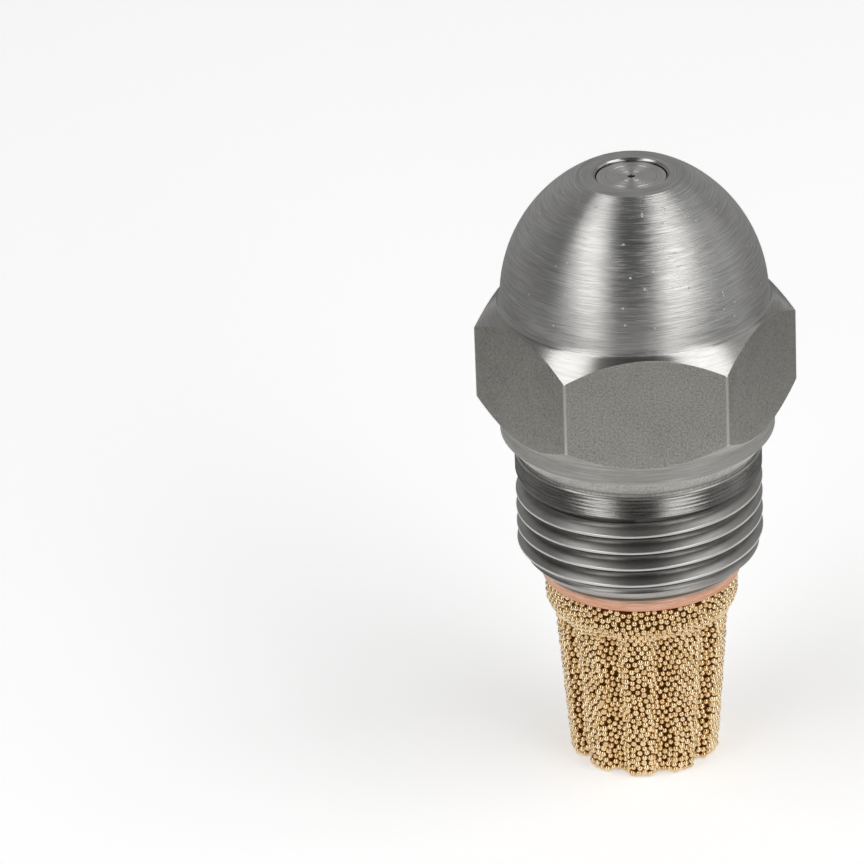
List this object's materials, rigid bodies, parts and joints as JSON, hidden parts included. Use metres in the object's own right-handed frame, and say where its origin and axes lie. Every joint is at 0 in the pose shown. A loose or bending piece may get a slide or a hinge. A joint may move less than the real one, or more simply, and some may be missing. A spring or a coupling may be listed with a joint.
{
  "type": "oil burner nozzle",
  "caption": "Oil burner nozzle with a domed spray end above a hexagon, an outside holder thread, a copper sealing ring and a fluted filter of sintered bronze beads.",
  "frame": {"origin": "middle of the filter's closed bottom, on which the nozzle stands", "axes": "+Z along the nozzle's axis towards the spray end; a flat of the hexagon faces -Y and two of its corners lie on the X axis"},
  "size_m": [0.0184, 0.016, 0.0369],
  "materials": {
    "turned_steel": "fine turned stainless steel",
    "plate_steel": "ground hardened steel",
    "insert_steel": "turned steel",
    "copper": "soft rolled copper",
    "brass": "turned brass",
    "sintered_bronze": "sintered bronze beads"
  },
  "bodies": {
    "nozzle": {"nozzle_body": "turned_steel", "orifice_plate": "plate_steel"},
    "distributor": {"swirl_distributor": "insert_steel"},
    "screw": {"lock_screw": "insert_steel"},
    "washer": {"sealing_washer": "copper"},
    "filter": {"filter_nipple": "brass", "sintered_filter": "sintered_bronze"}
  },
  "joints": [
    {"name": "washer_drop", "type": "slide", "parent": "nozzle", "child": "washer", "axis": [0, 0, -1], "range_m": [0, 0.006]},
    {"name": "filter_unscrew", "type": "hinge", "parent": "washer", "child": "filter", "pos_m": [0, 0, 0.0118], "axis": [0, 0, -1], "range_deg": [0, 2160]},
    {"name": "distributor_drop", "type": "slide", "parent": "nozzle", "child": "distributor", "axis": [0, 0, -1], "range_m": [0, 0.002]},
    {"name": "lock_screw_turn", "type": "hinge", "parent": "distributor", "child": "screw", "pos_m": [0, 0, 0.027], "axis": [0, 0, -1], "range_deg": [0, 720]}
  ],
  "couplings": [
    {"joint": "filter_unscrew", "follows": "washer_drop", "rad_per_m": 6283.2},
    {"joint": "lock_screw_turn", "follows": "distributor_drop", "rad_per_m": 6283.2}
  ]
}
